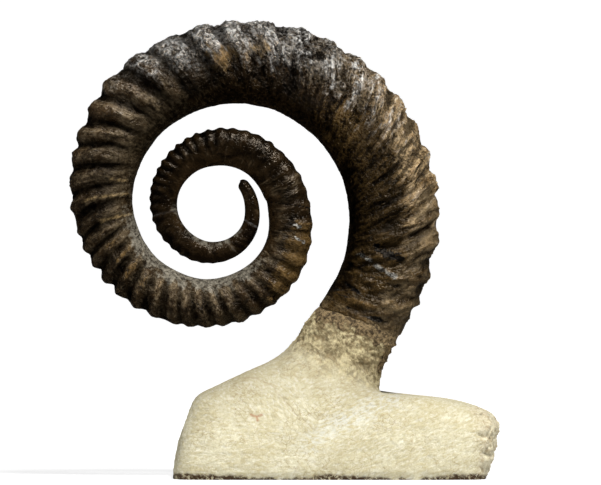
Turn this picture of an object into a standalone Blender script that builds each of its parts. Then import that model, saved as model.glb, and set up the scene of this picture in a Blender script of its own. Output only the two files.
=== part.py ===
"""An open-coiled ammonite fossil standing on the block of limestone that it was prepared from.

Front is -Y and up is +Z. The origin is the middle of the whole object's box, on the surface that it stands on.
The shell is a tube that grows along a flat spiral. A place on it is given by its growth line, which is a turn
angle in degrees, clockwise from +X as seen from the front, and by its girdle angle, which runs round the tube
from the venter (the outer side of the coil) over the front flank to the dorsum (the inner side) and back.
"""

import math

import bmesh
import bpy
from mathutils import Vector, noise

MM = 0.001

# The coil
COIL_CENTRE = Vector((-29.0 * MM, 0.0, 110.1 * MM))
STATION_STEP = 45.0
FIRST_STATION = -45.0
# Distances of the two edges from the coil's centre at each eighth of a turn, in mm, from the tip outwards
DORSUM_MM = [
    12.4, 12.9, 14.6, 14.9, 14.3, 14.4, 14.7, 15.7, 18.4, 21.6, 27.0, 29.7, 30.9, 32.3, 34.7, 39.8, 47.7, 54.8, 58.8,
]
VENTER_MM = [
    16.8, 18.7, 21.8, 23.6, 24.0, 25.4, 27.2, 30.7, 34.7, 39.3, 45.8, 49.1, 52.1, 56.7, 64.3, 73.0, 83.6, 91.0, 92.4,
]
WIDTH_SHARE = 0.80
FLANK_SQUARENESS = 2.2
TIP_LINE = -42.0
TIP_ROUNDING = 9.0
SHELL_END_LINE = 754.0

# The ribs: which rib's crest stands at which growth line, how high a crest stands over the mean in mm, and how
# far a rib leans forward, in degrees, on its way from venter to dorsum
RIB_CRESTS = [
    (57, 0), (177, 11), (257, 20), (360, 31), (401.5, 35), (426.5, 38), (445, 40), (468.5, 43), (487.5, 45),
    (505.5, 47), (529, 50), (549, 52), (568.5, 54), (589, 56), (601, 57), (626, 59), (635, 60), (656.5, 62),
    (675, 64), (698.5, 67), (714, 69), (729, 71), (738.5, 72), (755, 74),
]
RIB_RELIEFS = [
    (57, 0.0), (110, 0.15), (195, 0.25), (260, 0.35), (360, 0.25), (400, 0.42), (475, 0.4), (496, 0.9),
    (508, 0.9), (525, 0.5), (549, 0.7), (568, 1.0), (600, 1.1), (626, 0.8), (700, 0.75), (729, 1.0), (754, 0.5),
]
RIB_LEANS = [(-45, 2), (270, 5), (450, 9), (560, 12), (620, 17), (700, 18), (740, 12), (765, 6)]
FINE_RIBS = 31

# The stone, as sections from the sawn foot to the top of the neck, in mm. Each is the left end's x and z, the
# right end's x and z, half the depth, and the squareness of the outline.
STONE_SECTIONS = [
    (-45.5, 0.0, 81.2, 0.0, 32.2, 7.0),
    (-44.3, 7.1, 83.6, 7.1, 33.0, 7.0),
    (-42.5, 14.3, 85.5, 14.3, 32.8, 6.8),
    (-40.3, 21.6, 86.5, 20.6, 31.6, 6.2),
    (-38.2, 28.0, 84.2, 25.4, 30.0, 5.4),
    (-36.5, 31.6, 78.4, 28.4, 28.6, 4.7),
    (-33.0, 34.4, 69.5, 31.0, 27.0, 4.1),
    (-26.0, 37.6, 60.5, 32.5, 25.0, 3.5),
    (-17.0, 41.9, 50.5, 33.2, 22.2, 3.1),
    (-8.0, 46.2, 41.5, 33.6, 19.4, 2.8),
    (-0.9, 50.5, 38.2, 35.6, 17.0, 2.5),
    (4.1, 55.3, 38.6, 41.4, 15.3, 2.3),
    (7.4, 60.8, 40.4, 47.2, 14.4, 2.2),
    (9.9, 64.6, 42.6, 50.8, 14.0, 2.2),
    (12.0, 67.4, 44.6, 54.6, 13.8, 2.2),
]
STONE_LUMP = 1.1 * MM
STONE_LUMP_SIZE = 16.0 * MM
CONTACT_GAP_LINE = 0.35
MOULD_INSET = 0.985

# How finely the solids are faceted
GIRDLE_SIDES = 16
RINGS_PER_FINE_RIB = 2
RINGS_PER_BROAD_RIB = 4
TIP_RINGS = 7
EARLY_RINGS = 8
STONE_SIDES = 32
RINGS_PER_SECTION = 2

SHELL_COLOUR = (0.055, 0.038, 0.024, 1.0)
STONE_COLOUR = (0.76, 0.70, 0.50, 1.0)


def clear_scene():
    for obj in list(bpy.data.objects):
        bpy.data.objects.remove(obj, do_unlink=True)


def straight(pairs, x):
    """The value at x on straight runs between (x, value) pairs."""
    for (x0, y0), (x1, y1) in zip(pairs, pairs[1:]):
        if x <= x1:
            return y0 + (y1 - y0) * (x - x0) / (x1 - x0)
    (x0, y0), (x1, y1) = pairs[-2:]
    return y0 + (y1 - y0) * (x - x0) / (x1 - x0)


def smooth_row(rows, position):
    """The row of numbers at a position along rows, on a Catmull-Rom curve through them."""
    last = len(rows) - 1
    i = min(max(int(math.floor(position)), 0), last - 1)
    t = position - i
    p0, p1, p2, p3 = (rows[min(max(k, 0), last)] for k in (i - 1, i, i + 1, i + 2))
    return [
        0.5 * (2 * b + (c - a) * t + (2 * a - 5 * b + 4 * c - d) * t * t + (3 * b - a - 3 * c + d) * t**3)
        for a, b, c, d in zip(p0, p1, p2, p3)
    ]


def ease(x):
    x = min(max(x, 0.0), 1.0)
    return x * x * (3 - 2 * x)


def squared(angle, squareness):
    """Cosine and sine pushed outwards, so that a circle becomes a superellipse."""
    c, s = math.cos(angle), math.sin(angle)
    power = 2.0 / squareness
    return math.copysign(abs(c) ** power, c), math.copysign(abs(s) ** power, s)


def whorl(turn):
    """Distances of the dorsum and the venter from the coil's centre, in metres."""
    rows = list(zip(DORSUM_MM, VENTER_MM))
    dorsum, venter = smooth_row(rows, (turn - FIRST_STATION) / STATION_STEP)
    return dorsum * MM, venter * MM


def rib_wave(line):
    """1 on a rib's crest and -1 in the valley, with the crest a little narrower than the valley."""
    phase = straight(RIB_CRESTS, line) * 2 * math.pi
    return 2 * ((1 + math.cos(phase)) / 2) ** 1.15 - 1


def shell_point(line, girdle, inset=1.0):
    """A point of the ribbed shell."""
    lean = straight(RIB_LEANS, line)
    turn = line + lean * (1 - math.cos(girdle)) / 2
    dorsum, venter = whorl(turn)
    half_height = (venter - dorsum) / 2
    along_tip = min(max((line - TIP_LINE) / TIP_ROUNDING, 0.0), 1.0)
    rounding = math.sqrt(1 - (1 - along_tip) ** 2)
    off_dorsum = ease((math.cos(girdle) + 0.85) / 0.9)
    relief = max(straight(RIB_RELIEFS, line), 0.0) * MM * off_dorsum * rib_wave(line)
    c, s = squared(girdle, FLANK_SQUARENESS)
    height = (half_height * inset + relief) * rounding
    width = (half_height * inset * WIDTH_SHARE + relief) * rounding
    radius = (dorsum + venter) / 2 + height * c
    angle = -math.radians(turn)
    return COIL_CENTRE + Vector((radius * math.cos(angle), -width * s, radius * math.sin(angle)))


def shell_lines():
    """The growth lines that carry a ring: close together over the tip, then two or three to each rib."""
    quarter = math.pi / 2 / TIP_RINGS
    lines = [TIP_LINE + TIP_ROUNDING * (1 - math.cos(quarter * (i + 0.6))) for i in range(TIP_RINGS)]
    first_rib = RIB_CRESTS[0][0]
    start = TIP_LINE + TIP_ROUNDING
    lines += [start + (first_rib - start) * (i + 1) / EARLY_RINGS for i in range(EARLY_RINGS)]
    line_of_rib = [(number, line) for line, number in RIB_CRESTS]
    rib = 0.0
    while True:
        rib += 1.0 / (RINGS_PER_FINE_RIB if rib < FINE_RIBS else RINGS_PER_BROAD_RIB)
        line = straight(line_of_rib, rib)
        if line > SHELL_END_LINE - 1.0:
            break
        lines.append(line)
    return lines + [SHELL_END_LINE]


def shell_ring(line, inset=1.0, sides=GIRDLE_SIDES):
    return [shell_point(line, 2 * math.pi * i / sides, inset) for i in range(sides)]


def stone_ring(position):
    """One closed outline of the stone. Girdle angle 0 is its right end and half a turn is its left end."""
    left_x, left_z, right_x, right_z, depth, squareness = smooth_row(STONE_SECTIONS, position)
    if position == 0:
        left_z = right_z = 0.0
    middle = Vector((left_x + right_x, 0.0, left_z + right_z)) * (MM / 2)
    reach = Vector((right_x - left_x, 0.0, right_z - left_z)) * (MM / 2)
    amount = STONE_LUMP * ease(position / 2) * ease((len(STONE_SECTIONS) - 2 - position) / 3)
    ring = []
    for i in range(STONE_SIDES):
        c, s = squared(2 * math.pi * i / STONE_SIDES, squareness)
        point = middle + reach * c + Vector((0.0, -depth * MM * s, 0.0))
        lump = noise.noise(point / STONE_LUMP_SIZE) * amount
        outward = (reach.normalized() * c + Vector((0.0, -s, 0.0))).normalized()
        ring.append(point + outward * lump)
    return ring


def loft(name, rings, colour, roughness):
    """A closed solid through rings of equal length, with a flat first end and a fan over the last."""
    bm = bmesh.new()
    loops = [[bm.verts.new(point) for point in ring] for ring in rings]
    sides = len(rings[0])
    for low, high in zip(loops, loops[1:]):
        for i in range(sides):
            j = (i + 1) % sides
            bm.faces.new((low[i], low[j], high[j], high[i]))
    bm.faces.new(list(reversed(loops[0])))
    middle = bm.verts.new(sum((v.co for v in loops[-1]), Vector()) / sides)
    for i in range(sides):
        bm.faces.new((loops[-1][i], loops[-1][(i + 1) % sides], middle))
    bmesh.ops.recalc_face_normals(bm, faces=bm.faces)
    mesh = bpy.data.meshes.new(name)
    bm.to_mesh(mesh)
    bm.free()
    mesh.shade_smooth()
    mesh.set_sharp_from_angle(angle=math.radians(50))
    mesh.materials.append(finish(name, colour, roughness))
    obj = bpy.data.objects.new(name, mesh)
    return obj


def finish(name, colour, roughness):
    material = bpy.data.materials.new(name)
    material.use_nodes = True
    shader = material.node_tree.nodes["Principled BSDF"]
    shader.inputs["Base Color"].default_value = colour
    shader.inputs["Roughness"].default_value = roughness
    shader.inputs["Metallic"].default_value = 0.0
    return material


def make_shell():
    rings = [shell_ring(line) for line in shell_lines()]
    return loft("ammonite_shell", rings, SHELL_COLOUR, 0.45)


def make_stone():
    """The block and its neck. The neck's top ring follows the shell's end across a hairline gap."""
    count = (len(STONE_SECTIONS) - 1) * RINGS_PER_SECTION
    rings = [stone_ring(i / RINGS_PER_SECTION) for i in range(count + 1)]
    rings.append(shell_ring(SHELL_END_LINE + CONTACT_GAP_LINE, MOULD_INSET, STONE_SIDES))
    return loft("limestone_matrix", rings, STONE_COLOUR, 0.85)


def main():
    clear_scene()
    fossil = bpy.data.collections.new("ammonite_fossil")
    bpy.context.scene.collection.children.link(fossil)
    for piece in (make_shell(), make_stone()):
        fossil.objects.link(piece)


main()
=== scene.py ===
"""An open-coiled ammonite fossil that rises from the limestone block it was prepared from.

Metres, +Z up, front towards -Y. The coil lies in the XZ plane, and turns clockwise as seen from the front.
"""

import math

import bpy
import numpy as np
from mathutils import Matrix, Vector, noise


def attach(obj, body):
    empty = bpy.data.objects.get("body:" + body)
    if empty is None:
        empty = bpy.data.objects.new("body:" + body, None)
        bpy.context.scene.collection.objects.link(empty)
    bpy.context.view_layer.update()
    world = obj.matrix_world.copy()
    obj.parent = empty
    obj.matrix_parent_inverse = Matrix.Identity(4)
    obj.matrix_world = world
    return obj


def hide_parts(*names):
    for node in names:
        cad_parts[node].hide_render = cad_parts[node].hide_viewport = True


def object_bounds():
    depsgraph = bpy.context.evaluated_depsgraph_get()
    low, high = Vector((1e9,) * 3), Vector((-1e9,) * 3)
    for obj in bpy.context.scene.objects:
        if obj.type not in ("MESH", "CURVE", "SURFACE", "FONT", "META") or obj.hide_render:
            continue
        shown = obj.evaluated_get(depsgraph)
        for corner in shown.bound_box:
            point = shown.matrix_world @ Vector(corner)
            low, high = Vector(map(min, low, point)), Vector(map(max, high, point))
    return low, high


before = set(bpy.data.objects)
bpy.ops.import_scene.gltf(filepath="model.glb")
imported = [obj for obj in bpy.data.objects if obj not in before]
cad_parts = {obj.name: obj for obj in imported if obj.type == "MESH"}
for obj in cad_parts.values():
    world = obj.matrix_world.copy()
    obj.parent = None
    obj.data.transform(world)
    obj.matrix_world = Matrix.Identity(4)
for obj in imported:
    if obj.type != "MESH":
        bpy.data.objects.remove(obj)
cad_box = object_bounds()
MM = 0.001


# The shell: a tube that grew along a flat, open spiral, ribbed across, now dark mineral with stony filling.
# A needle freed it from the rock all the way round. Its skin is crinkled and worn pale on the ribs, with
# painted highlight and sheen on the crests and painted shade in the hollows, and it breaks off raggedly
# where the neck of rock takes over.

# Turns are in degrees along the coil, from before the tip to past the mouth, with a station every 45. The
# dorsum is the inner side of the tube, and the venter the outer side.
coil_centre_x = -29.0 * MM
coil_centre_z = 110.1 * MM
first_station = -45.0
station_step = 45.0
dorsum_mm = [
    12.4, 12.9, 14.6, 14.9, 14.3, 14.4, 14.7, 15.7, 18.4, 21.6, 27.0, 29.7, 30.9, 32.3, 34.7, 39.8, 47.7,
    54.8, 58.8,
]
venter_mm = [
    16.8, 18.7, 21.8, 23.6, 24.0, 25.4, 27.2, 30.7, 34.7, 39.3, 45.8, 49.1, 52.1, 56.7, 64.3, 73.0, 83.6,
    91.0, 92.4,
]
whorl_width_share = 0.80
flank_squareness = 2.2
tip_line = -42.0
tip_rounding = 9.0
shell_end_line = 754.0
# Pairs of turn and rib number, of turn and rib height, and of turn and the ribs' forward lean in degrees
rib_crests = [
    (57, 0), (177, 11), (257, 20), (360, 31), (401.5, 35), (426.5, 38), (445, 40), (468.5, 43), (487.5, 45),
    (505.5, 47), (529, 50), (549, 52), (568.5, 54), (589, 56), (601, 57), (626, 59), (635, 60), (656.5, 62),
    (675, 64), (698.5, 67), (714, 69), (729, 71), (738.5, 72), (755, 74),
]
rib_reliefs_mm = [
    (57, 0.0), (110, 0.15), (195, 0.35), (260, 0.42), (285, 0.3), (360, 0.25), (400, 0.42), (475, 0.4),
    (496, 0.9), (508, 0.9), (525, 0.5), (549, 0.7), (568, 1.0), (600, 1.1), (626, 0.8), (700, 0.75),
    (729, 1.0), (754, 0.5),
]
rib_leans = [(-45, 2), (270, 5), (450, 9), (560, 12), (620, 17), (700, 18), (740, 12), (765, 6)]
rib_stretch = (1.0, 0.48, 0.48)
arc_radius_share = 0.8
full_height = 33 * MM
ridge_middle = 0.65
sharp_edge_deg = 75
shell_rings = 880
shell_sides = 110


def straight(pairs, x):
    """Values at x on straight runs between (x, value) pairs."""
    return np.interp(x, [p[0] for p in pairs], [p[1] for p in pairs])


def smooth_rows(rows, position):
    """Rows at the positions along a list of rows, on a Catmull-Rom curve through them."""
    rows = np.asarray(rows, float)
    last = len(rows) - 1
    i = np.clip(np.floor(position).astype(int), 0, last - 1)
    t = (position - i)[..., None]
    a, b, c, d = (rows[np.clip(i + k, 0, last)] for k in (-1, 0, 1, 2))
    return 0.5 * (2 * b + (c - a) * t + (2 * a - 5 * b + 4 * c - d) * t**2 + (3 * b - a - 3 * c + d) * t**3)


def ease(x, low=0.0, high=1.0):
    """0 below low, 1 above high, and a smooth step between them."""
    t = np.clip((x - low) / (high - low), 0, 1)
    return t * t * (3 - 2 * t)


def bump_at(x, centre, reach):
    """1 at the centre, falling smoothly to nothing over about twice the reach."""
    return np.exp(-(((x - centre) / reach) ** 2))


def noise_at(points, size, octaves=3, offset=0.0):
    """Smooth noise from about -1 to 1 with features of the given size, at an array of points."""
    flat = points.reshape(-1, 3) / size + offset
    values = [noise.fractal(Vector(p), 0.8, 2.1, octaves) for p in flat.tolist()]
    return np.array(values).reshape(points.shape[:-1])


def ridges_at(points, size, octaves=3, offset=0.0):
    """Crinkled noise from 0 to about 1, mostly near ridge_middle, with sharp ridges."""
    flat = points.reshape(-1, 3) / size + offset
    values = [noise.ridged_multi_fractal(Vector(p), 0.6, 2.2, octaves, 1.0, 2.0) for p in flat.tolist()]
    return np.array(values).reshape(points.shape[:-1]) / 2.0


def whorl(turn):
    """Distances of dorsum and venter from the coil's centre, in metres, at turn angles in degrees."""
    rows = smooth_rows(np.stack([dorsum_mm, venter_mm], 1) * MM, (turn - first_station) / station_step)
    return rows[..., 0], rows[..., 1]


def squared(angle, squareness):
    """Cosine and sine pushed outwards, so that a circle becomes a superellipse."""
    c, s = np.cos(angle), np.sin(angle)
    return np.sign(c) * np.abs(c) ** (2 / squareness), np.sign(s) * np.abs(s) ** (2 / squareness)


def tube_points(line, girdle, raised):
    """Points of the tube on growth lines, at girdle angles, raised off its mean surface by some metres."""
    lean = straight(rib_leans, line)
    turn = line + lean * (1 - np.cos(girdle)) / 2
    dorsum, venter = whorl(turn)
    half_height = (venter - dorsum) / 2
    along_tip = np.clip((line - tip_line) / tip_rounding, 0, 1)
    rounding = np.sqrt(1 - (1 - along_tip) ** 2)
    c, s = squared(girdle, flank_squareness)
    radius = (dorsum + venter) / 2 + (half_height + raised) * c * rounding
    across = (half_height * whorl_width_share + raised) * s * rounding
    angle = -np.radians(turn)
    x = coil_centre_x + radius * np.cos(angle)
    z = coil_centre_z + radius * np.sin(angle)
    return np.stack([x, -across, z], -1), turn, radius


def even_girdle(sides, squareness):
    """Girdle angles that part a superellipse into stretches of equal length."""
    fine = np.linspace(0, 2 * math.pi, 4001)
    c, s = squared(fine, squareness)
    steps = np.hypot(np.diff(c), np.diff(s) * whorl_width_share)
    length = np.concatenate([[0], np.cumsum(steps)])
    return np.interp(np.arange(sides) / sides * length[-1], length, fine)


def grid_mesh(name, points, start_cap, end_cap):
    """A tube of quads through rings of points, closed by a fan at each end that is asked for."""
    rings, sides = points.shape[:2]
    corner = np.arange(rings * sides).reshape(rings, sides)
    following = np.roll(corner, -1, axis=1)
    quads = np.stack([corner[:-1], following[:-1], following[1:], corner[1:]], -1).reshape(-1, 4)
    places = [points.reshape(-1, 3)]
    fans = []
    for wanted, ring, flip in ((start_cap, 0, True), (end_cap, rings - 1, False)):
        if wanted:
            middle = rings * sides + len(places) - 1
            places.append(points[ring].mean(axis=0)[None])
            fan = np.stack([corner[ring], following[ring], np.full(sides, middle)], -1)
            fans.append(fan[:, ::-1] if flip else fan)
    places = np.concatenate(places)
    fans = np.concatenate(fans) if fans else np.zeros((0, 3), int)
    mesh = bpy.data.meshes.new(name)
    mesh.vertices.add(len(places))
    mesh.vertices.foreach_set("co", places.astype(np.float32).ravel())
    mesh.loops.add(quads.size + fans.size)
    mesh.loops.foreach_set("vertex_index", np.concatenate([quads.ravel(), fans.ravel()]).astype(np.int32))
    mesh.polygons.add(len(quads) + len(fans))
    starts = np.concatenate([np.arange(len(quads)) * 4, quads.size + np.arange(len(fans)) * 3])
    mesh.polygons.foreach_set("loop_start", starts.astype(np.int32))
    mesh.update(calc_edges=True)
    mesh.validate()
    mesh.shade_smooth()
    mesh.set_sharp_from_angle(angle=math.radians(sharp_edge_deg))
    piece = bpy.data.objects.new(name, mesh)
    bpy.context.scene.collection.objects.link(piece)
    return piece


def paint(piece, name, values):
    """A named number, or a named place, at every point of a grid mesh. The caps take the mean."""
    kind = "FLOAT_VECTOR" if values.ndim == 3 else "FLOAT"
    flat = values.reshape(-1, 3) if values.ndim == 3 else values.reshape(-1)
    count = len(piece.data.vertices)
    filled = np.empty((count,) + flat.shape[1:], np.float32)
    filled[: len(flat)] = flat
    filled[len(flat):] = flat.mean(axis=0)
    attribute = piece.data.attributes.new(name, kind, "POINT")
    attribute.data.foreach_set("vector" if kind == "FLOAT_VECTOR" else "value", filled.ravel())


# Growth lines, closer together where the tube is thin
rough_line = np.linspace(tip_line, shell_end_line, 4000)
rough_dorsum, rough_venter = whorl(rough_line)
ring_pace = rough_venter**0.8 * np.where(rough_line < tip_line + tip_rounding, 2.2, 1.0)
ring_clock = np.concatenate([[0], np.cumsum((ring_pace[1:] + ring_pace[:-1]) / 2)])
ring_lines = np.interp(np.linspace(0, ring_clock[-1], shell_rings), ring_clock, rough_line)
tip_part = ring_lines < tip_line + tip_rounding
tip_count = int(tip_part.sum())
tip_sweep = np.linspace(0.03, math.pi / 2, tip_count, endpoint=False)
ring_lines[tip_part] = tip_line + tip_rounding * (1 - np.cos(tip_sweep))
girdles = even_girdle(shell_sides, flank_squareness)
line, girdle = np.meshgrid(ring_lines, girdles, indexing="ij")

# The last rings follow the ragged break
girdle_circle = np.stack([np.cos(girdles), np.sin(girdles), np.zeros_like(girdles)], -1)
ragged = 1.6 * noise_at(girdle_circle, 0.45, 4, 3.0) + 1.2 * noise_at(girdle_circle, 1.4, 1, 8.0)
line = line + ragged[None, :] * ease(line, shell_end_line - 22, shell_end_line)

venter_share = (1 + np.cos(girdle)) / 2
mean_points, turn, mean_radius = tube_points(line, girdle, 0.0)
venter_at = list(zip(rough_line, rough_venter))
height_at = list(zip(rough_line, rough_venter - rough_dorsum))
arc = np.radians(line) * straight(venter_at, line) * arc_radius_share

# Ribs, rounded on the venter and fading on the dorsum. They wander, vary and here and there split in two
tube_place = np.stack([arc, -mean_points[..., 1], mean_radius], -1)
rib_number = straight(rib_crests, line)
wander_place = tube_place * np.array([1.0, 0.6, 0.6])
rib_wander = 0.12 * noise_at(wander_place, 8 * MM, 2, 11.0) * ease(line, 40, 200)
rib_wander += 0.22 * noise_at(wander_place, 6 * MM, 2, 23.0) * ease(line, 590, 650)
rib_phase = 2 * math.pi * (rib_number + rib_wander)
crest_sharpness = straight([(100, 1.1), (420, 1.1), (520, 0.85), (640, 0.95), (690, 0.8), (754, 0.8)], line)
crest = 2 * ((1 + np.cos(rib_phase)) / 2) ** crest_sharpness - 1
off_dorsum = ease(np.cos(girdle), -0.85, 0.05)
rib_reach = np.where(line < 300, ease(np.cos(girdle), -0.35, 0.35), off_dorsum)
rib_reach += (off_dorsum - rib_reach) * ease(line, 270, 300)
flank_share = straight(
    [(190, 0.4), (205, 0.9), (268, 0.9), (290, 0.3), (380, 0.7), (420, 1.2), (520, 1.45), (615, 1.45),
     (645, 0.9), (675, 0.6), (700, 0.8), (757, 1.0)], line,
)
flank_gain = 1 + (flank_share - 1) * np.sin(girdle) ** 2
rib_strength = 1 + 0.3 * noise_at(np.stack([rib_number * 0.9, girdle * 0, girdle * 0], -1), 1.0, 1, 5.0)
rib_variety = 0.5 + 0.6 * bump_at(line, 525, 30)
rib_strength = rib_strength * (1 + rib_variety * noise_at(tube_place, 10 * MM, 2, 14.0))
rib_strength = np.clip(rib_strength, 0.15, 1.8) * (1 - 0.7 * bump_at(line, 613, 5))
ribs = straight(rib_reliefs_mm, line) * MM * rib_reach * flank_gain * rib_strength * crest

# Growth wrinkles along the ribs, and the crumpled skin, both weaker on the thin inner turn
size_share = np.clip(straight(height_at, line) / full_height, 0.2, 1.0)
wrinkle_place = tube_place * np.array([1.0, 0.45, 0.45])
wrinkles = ridges_at(wrinkle_place, 2.6 * MM, 3, 2.0) - ridge_middle
fine_wrinkles = noise_at(wrinkle_place, 1.1 * MM, 2, 2.0)
crinkle = ridges_at(mean_points, 3.3 * MM, 3, 7.0) - ridge_middle
lumps = noise_at(mean_points, 15 * MM, 2, 1.0)
roughened = straight(
    [(-45, 0.1), (60, 0.25), (300, 0.45), (560, 0.8), (620, 1.05), (680, 1.15), (705, 0.9), (725, 0.5),
     (757, 0.4)], line,
)
smooth_skin = straight(
    [(-45, 1.0), (350, 0.9), (420, 0.4), (480, 0.1), (530, 0.5), (590, 0.5), (612, 0.1), (650, 0.15),
     (690, 0.6), (720, 0.9), (757, 0.8)], line,
)
pleated = straight(
    [(-45, 0.2), (400, 0.5), (560, 0.45), (640, 0.5), (690, 0.6), (720, 0.35), (757, 0.35)], line,
)
draped = straight(
    [(-45, 0.0), (280, 0.0), (320, 0.4), (380, 0.4), (420, 0.2), (600, 0.1), (650, 0.25), (690, 0.45),
     (715, 0.8), (757, 1.0)], line,
)
drape_bend = 1.5 * MM * noise_at(tube_place, 7 * MM, 2, 29.0)[..., None]
drapes = ridges_at((tube_place + drape_bend) * np.array(rib_stretch), 6.4 * MM, 2, 27.0) - ridge_middle
relief = 0.45 * lumps + 0.85 * pleated * wrinkles * off_dorsum + 0.12 * pleated * fine_wrinkles
relief += 2.3 * draped * drapes * ease(np.cos(girdle), -0.9, -0.2)
relief = ribs + size_share * MM * (relief + 1.15 * roughened * crinkle * (0.3 + 0.7 * off_dorsum))


# Folds and creases that stand out one by one, each along a path of turn and share from dorsum to venter
def fold_at(path, reach_mm):
    """1 along a path over the flank that the photo shows, fading over the reach."""
    nearest = np.full(line.shape, 1.0)
    arc_per_degree = math.radians(1) * straight(venter_at, path[0][0]) * arc_radius_share
    height = float(np.diff(whorl(np.array(path[0][0])))[0])
    for (turn_a, share_a), (turn_b, share_b) in zip(path[:-1], path[1:]):
        along = (turn - turn_a) * arc_per_degree
        across = (venter_share - share_a) * height
        step_along = (turn_b - turn_a) * arc_per_degree
        step_across = (share_b - share_a) * height
        t = (along * step_along + across * step_across) / (step_along**2 + step_across**2)
        t = np.clip(t, 0, 1)
        nearest = np.minimum(nearest, np.hypot(along - t * step_along, across - t * step_across))
    ragged_reach = nearest + 0.6 * MM * noise_at(tube_place, 2.2 * MM, 3, 55.0)
    return bump_at(ragged_reach, 0, reach_mm * MM) * (np.sin(girdle) > -0.2)


# A raised fold with a pale painted highlight along it
painted_highlight_fold = fold_at([(738.2, 0.15), (738.9, 0.24), (739.8, 0.34), (741.0, 0.46), (741.4, 0.60)], 1.15)
painted_highlight_fold *= np.clip(0.85 + 0.6 * noise_at(tube_place, 4.0 * MM, 3, 57.0), 0, 1)
black_pocket = fold_at([(734.6, 0.36), (735.8, 0.48), (736.0, 0.60)], 1.6)
black_pocket *= np.clip(0.7 + 1.6 * noise_at(tube_place, 2.0 * MM, 3, 59.0), 0, 1)
# Painted glints: short pale strokes on the rib crests of the inner turn
painted_glints = fold_at([(373.0, 0.50), (374.2, 0.72)], 0.5) + 0.8 * fold_at([(381.4, 0.62), (382.4, 0.84)], 0.45)
painted_glints += 0.5 * fold_at([(367.0, 0.66), (367.6, 0.80)], 0.4)
creases = [
    [(743.2, 0.08), (744.6, 0.45), (743.6, 0.80)], [(750.4, 0.14), (751.6, 0.50), (749.6, 0.92)],
    [(728.6, 0.40), (726.6, 0.66), (724.6, 0.92)], [(713.6, 0.52), (709.0, 0.72), (705.6, 0.95)],
    [(697.2, 0.44), (692.4, 0.68), (689.4, 0.93)], [(682.6, 0.40), (680.0, 0.60), (676.4, 0.86)],
    [(757.0, 0.30), (755.6, 0.62), (753.6, 0.78)],
]
crease_lines = sum(fold_at(path, 0.65) for path in creases)
# Golden lines of painted sheen along rib crests on the left, each also slightly raised
painted_sheen_paths = [
    [(555.8, 0.12), (554.0, 0.38)], [(547.2, 0.10), (544.5, 0.45), (541.8, 0.74)],
    [(533.8, 0.06), (533.0, 0.3), (532.0, 0.56)],
]
painted_sheen_lines = sum(fold_at(path, 0.5) for path in painted_sheen_paths)
painted_sheen_lines *= np.clip(0.8 + 1.2 * noise_at(tube_place, 3.0 * MM, 3, 63.0), 0, 1)
relief += MM * (0.7 * painted_highlight_fold - 0.9 * black_pocket - 0.55 * crease_lines + 0.35 * painted_sheen_lines)
# Hollows between the last ribs, on the venter side: turn, reach in degrees and depth
venter_hollows = [(612.5, 4, 0.5), (651, 3.5, 0.6), (733, 2.5, 0.5), (741.5, 2.2, 0.6), (747, 2, 0.4)]
for hollow_turn, reach_turn, hollow_mm in venter_hollows:
    relief -= hollow_mm * MM * bump_at(turn, hollow_turn, reach_turn) * ease(venter_share, 0.7, 1.0)

# Two pale hairline cracks and one stepped crack run across the tube
crack = 0.8 * bump_at(turn, 25 + 2 * venter_share, 0.7) + 0.5 * bump_at(turn, 172 - 3 * venter_share, 0.5)
dark_crack = bump_at(turn, 357 + 5 * venter_share, 0.6)
relief -= 0.10 * MM * (crack + dark_crack)
relief -= 0.35 * MM * ease(turn, 352, 356.5) * ease(-turn, -372, -357) * ease(-venter_share, -0.5, -0.1)
# A slot where a flake has left the shell, just above the break
slot = bump_at(turn + 9 * (venter_share - 0.62), 755.0, 0.55) * bump_at(venter_share, 0.635, 0.06)
slot *= np.sin(girdle) > 0
# Towards the break the shell thins out, so that its edge lies flush with the rock
relief *= 1 - 0.75 * ease(line, shell_end_line - 6, shell_end_line - 1)
relief -= 0.35 * MM * slot + 0.2 * MM * ease(line, shell_end_line - 5, shell_end_line)

shell_points = tube_points(line, girdle, relief)[0]
# The broken rim rounds over and turns in to meet the rock: steps forward in degrees, and inward
rim_steps = [(0.2, 0.15 * MM), (0.2, 0.5 * MM), (-0.4, 1.2 * MM), (-2.5, 2.2 * MM)]
rims = [tube_points(line[-1] + forward, girdles, relief[-1] - inward)[0] for forward, inward in rim_steps]
all_points = np.clip(np.concatenate([shell_points, np.stack(rims)]), cad_box[0], cad_box[1])

shell = grid_mesh("shell", all_points, True, True)


def with_rim(values):
    """Carries a shell value on over the rim rings."""
    return np.concatenate([values, np.repeat(values[-1:], len(rim_steps), axis=0)])


# Where each finish lies: worn tan stone, grey wear with a painted sheen, ochre stain with painted sheen on
# some crests, soot black with painted shade, dust with painted light, and the pale scars
blur_reach = straight([(-45, 0.3), (400, 0.7), (700, 1)], line)
blur_turn = turn + 5 * noise_at(tube_place, 5 * MM, 3, 51.0) * blur_reach
blur_share = venter_share + 0.16 * noise_at(tube_place, 5 * MM, 3, 61.0)
flank_profile = ease(blur_share, 0.2, 0.55)
inner_profile = bump_at(blur_share, 0.33, 0.22)
outer_profile = ease(blur_share, 0.3, 0.72)
late = ease(blur_turn, 605, 680)
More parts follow.
